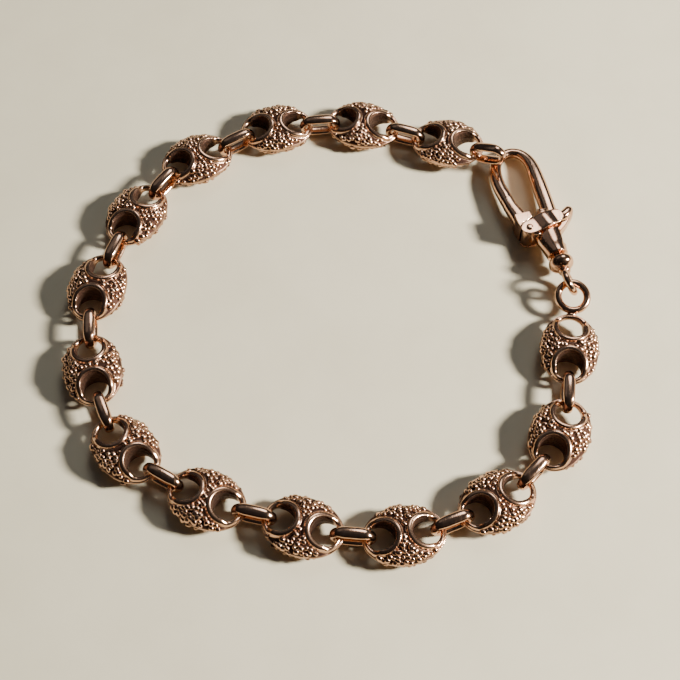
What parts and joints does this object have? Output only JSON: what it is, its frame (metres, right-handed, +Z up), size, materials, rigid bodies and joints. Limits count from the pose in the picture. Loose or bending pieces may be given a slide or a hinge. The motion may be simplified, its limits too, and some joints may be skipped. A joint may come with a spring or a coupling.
{
  "type": "pocket watch chain with dog clip",
  "caption": "Laid-out pocket watch chain of textured two-hole oval links on upright oval connectors, with a small end ring and a swivelling dog clip under the last connector.",
  "frame": {"origin": "middle of the laid-out chain's box, on the surface it lies on", "axes": "+Z up; +Y towards the hook end of the clip, which lies along the right of the loop"},
  "size_m": [0.0781, 0.0771, 0.006],
  "materials": {
    "nugget_gold": "cast nugget texture, polished on the high spots and dark in the hollows",
    "polished_gold": "polished, light wear",
    "clip_gold": "polished, fine scratches",
    "spring_steel": "plain"
  },
  "bodies": {
    "clip": {"hook_body": "clip_gold", "gate_spring": "spring_steel"},
    "gate": {"gate_lever": "clip_gold", "gate_rivet": "clip_gold"},
    "swivel": {"swivel_bail": "clip_gold", "swivel_bead": "clip_gold", "stem_head": "clip_gold"},
    "first_link": {"end_ring": "polished_gold", "link_01": "nugget_gold"},
    "conn_01": {"connector_01": "polished_gold"},
    "chain_02": {"link_02": "nugget_gold"},
    "conn_02": {"connector_02": "polished_gold"},
    "chain_03": {"link_03": "nugget_gold"},
    "conn_03": {"connector_03": "polished_gold"},
    "chain_04": {"link_04": "nugget_gold"},
    "conn_04": {"connector_04": "polished_gold"},
    "chain_05": {"link_05": "nugget_gold"},
    "conn_05": {"connector_05": "polished_gold"},
    "chain_06": {"link_06": "nugget_gold"},
    "conn_06": {"connector_06": "polished_gold"},
    "chain_07": {"link_07": "nugget_gold"},
    "conn_07": {"connector_07": "polished_gold"},
    "chain_08": {"link_08": "nugget_gold"},
    "conn_08": {"connector_08": "polished_gold"},
    "chain_09": {"link_09": "nugget_gold"},
    "conn_09": {"connector_09": "polished_gold"},
    "chain_10": {"link_10": "nugget_gold"},
    "conn_10": {"connector_10": "polished_gold"},
    "chain_11": {"link_11": "nugget_gold"},
    "conn_11": {"connector_11": "polished_gold"},
    "chain_12": {"link_12": "nugget_gold"},
    "conn_12": {"connector_12": "polished_gold"},
    "chain_13": {"link_13": "nugget_gold"},
    "conn_13": {"connector_13": "polished_gold"},
    "chain_14": {"link_14": "nugget_gold"},
    "conn_14": {"connector_14": "polished_gold"}
  },
  "joints": [
    {"name": "gate_hinge", "type": "hinge", "parent": "clip", "child": "gate", "pos_m": [0.0301, 0.01359, 0.00245], "axis": [0.0203, -0.0758, -0.9969], "range_deg": [0, 26], "stiffness_Nm_per_rad": 0.002},
    {"name": "swivel_turn", "type": "hinge", "parent": "clip", "child": "swivel", "pos_m": [0.03419, 0.00952, 0.00284], "axis": [-0.258, 0.9629, -0.0785], "range_deg": [0, 285]},
    {"name": "ring_swing", "type": "hinge", "parent": "swivel", "child": "first_link", "pos_m": [0.0358, 0.00244, 0.0029], "axis": [0, 0, 1], "range_deg": [0, 50]},
    {"name": "swing_01", "type": "hinge", "parent": "first_link", "child": "conn_01", "pos_m": [0.0344, -0.00895, 0.0021], "axis": [0, 0, 1], "range_deg": [0, 35]},
    {"name": "lift_02", "type": "hinge", "parent": "conn_01", "child": "chain_02", "pos_m": [0.03383, -0.01437, 0.0021], "axis": [0.9945, -0.1045, 0], "range_deg": [0, 40]},
    {"name": "swing_02", "type": "hinge", "parent": "chain_02", "child": "conn_02", "pos_m": [0.03091, -0.02219, 0.0021], "axis": [0, 0, 1], "range_deg": [0, 35]},
    {"name": "lift_03", "type": "hinge", "parent": "conn_02", "child": "chain_03", "pos_m": [0.0272, -0.02618, 0.0021], "axis": [0.7314, -0.682, 0], "range_deg": [0, 40]},
    {"name": "swing_03", "type": "hinge", "parent": "chain_03", "child": "conn_03", "pos_m": [0.02031, -0.03095, 0.0021], "axis": [0, 0, 1], "range_deg": [0, 35]},
    {"name": "lift_04", "type": "hinge", "parent": "conn_03", "child": "chain_04", "pos_m": [0.01526, -0.03299, 0.0021], "axis": [0.3746, -0.9272, 0], "range_deg": [0, 40]},
    {"name": "swing_04", "type": "hinge", "parent": "chain_04", "child": "conn_04", "pos_m": [0.00704, -0.03472, 0.0021], "axis": [0, 0, 1], "range_deg": [0, 35]},
    {"name": "lift_05", "type": "hinge", "parent": "conn_04", "child": "chain_05", "pos_m": [0.00161, -0.03424, 0.0021], "axis": [-0.0872, -0.9962, 0], "range_deg": [0, 40]},
    {"name": "swing_05", "type": "hinge", "parent": "chain_05", "child": "conn_05", "pos_m": [-0.00653, -0.03215, 0.0021], "axis": [0, 0, 1], "range_deg": [0, 35]},
    {"name": "lift_06", "type": "hinge", "parent": "conn_05", "child": "chain_06", "pos_m": [-0.01184, -0.03093, 0.0021], "axis": [-0.225, -0.9744, 0], "range_deg": [0, 40]},
    {"name": "swing_06", "type": "hinge", "parent": "chain_06", "child": "conn_06", "pos_m": [-0.01966, -0.02782, 0.0021], "axis": [0, 0, 1], "range_deg": [0, 35]},
    {"name": "lift_07", "type": "hinge", "parent": "conn_06", "child": "chain_07", "pos_m": [-0.02438, -0.0251, 0.0021], "axis": [-0.5, -0.866, 0], "range_deg": [0, 40]},
    {"name": "swing_07", "type": "hinge", "parent": "chain_07", "child": "conn_07", "pos_m": [-0.03066, -0.01953, 0.0021], "axis": [0, 0, 1], "range_deg": [0, 35]},
    {"name": "lift_08", "type": "hinge", "parent": "conn_07", "child": "chain_08", "pos_m": [-0.0327, -0.01448, 0.0021], "axis": [0.9272, 0.3746, 0], "range_deg": [0, 40]},
    {"name": "swing_08", "type": "hinge", "parent": "chain_08", "child": "conn_08", "pos_m": [-0.03495, -0.00636, 0.0021], "axis": [0, 0, 1], "range_deg": [0, 35]},
    {"name": "lift_09", "type": "hinge", "parent": "conn_08", "child": "chain_09", "pos_m": [-0.03533, -0.00092, 0.0021], "axis": [0.9976, 0.0698, 0], "range_deg": [0, 40]},
    {"name": "swing_09", "type": "hinge", "parent": "chain_09", "child": "conn_09", "pos_m": [-0.03402, 0.00734, 0.0021], "axis": [0, 0, 1], "range_deg": [0, 35]},
    {"name": "lift_10", "type": "hinge", "parent": "conn_09", "child": "chain_10", "pos_m": [-0.03215, 0.01246, 0.0021], "axis": [0.9397, -0.342, 0], "range_deg": [0, 40]},
    {"name": "swing_10", "type": "hinge", "parent": "chain_10", "child": "conn_10", "pos_m": [-0.02839, 0.02001, 0.0021], "axis": [0, 0, 1], "range_deg": [0, 35]},
    {"name": "lift_11", "type": "hinge", "parent": "conn_10", "child": "chain_11", "pos_m": [-0.02519, 0.02442, 0.0021], "axis": [0.809, -0.5878, 0], "range_deg": [0, 40]},
    {"name": "swing_11", "type": "hinge", "parent": "chain_11", "child": "conn_11", "pos_m": [-0.01837, 0.02909, 0.0021], "axis": [0, 0, 1], "range_deg": [0, 35]},
    {"name": "lift_12", "type": "hinge", "parent": "conn_11", "child": "chain_12", "pos_m": [-0.0137, 0.03189, 0.0021], "axis": [0.515, -0.8572, 0], "range_deg": [0, 40]},
    {"name": "swing_12", "type": "hinge", "parent": "chain_12", "child": "conn_12", "pos_m": [-0.00568, 0.03416, 0.0021], "axis": [0, 0, 1], "range_deg": [0, 35]},
    {"name": "lift_13", "type": "hinge", "parent": "conn_12", "child": "chain_13", "pos_m": [-0.00025, 0.03464, 0.0021], "axis": [0.0872, -0.9962, 0], "range_deg": [0, 40]},
    {"name": "swing_13", "type": "hinge", "parent": "chain_13", "child": "conn_13", "pos_m": [0.0081, 0.03378, 0.0021], "axis": [0, 0, 1], "range_deg": [0, 35]},
    {"name": "lift_14", "type": "hinge", "parent": "conn_13", "child": "chain_14", "pos_m": [0.01328, 0.0321, 0.0021], "axis": [-0.309, -0.9511, 0], "range_deg": [0, 40]},
    {"name": "swing_14", "type": "hinge", "parent": "chain_14", "child": "conn_14", "pos_m": [0.02136, 0.0297, 0.00269], "axis": [-0.0663, 0.0216, 0.9976], "range_deg": [0, 35]}
  ]
}
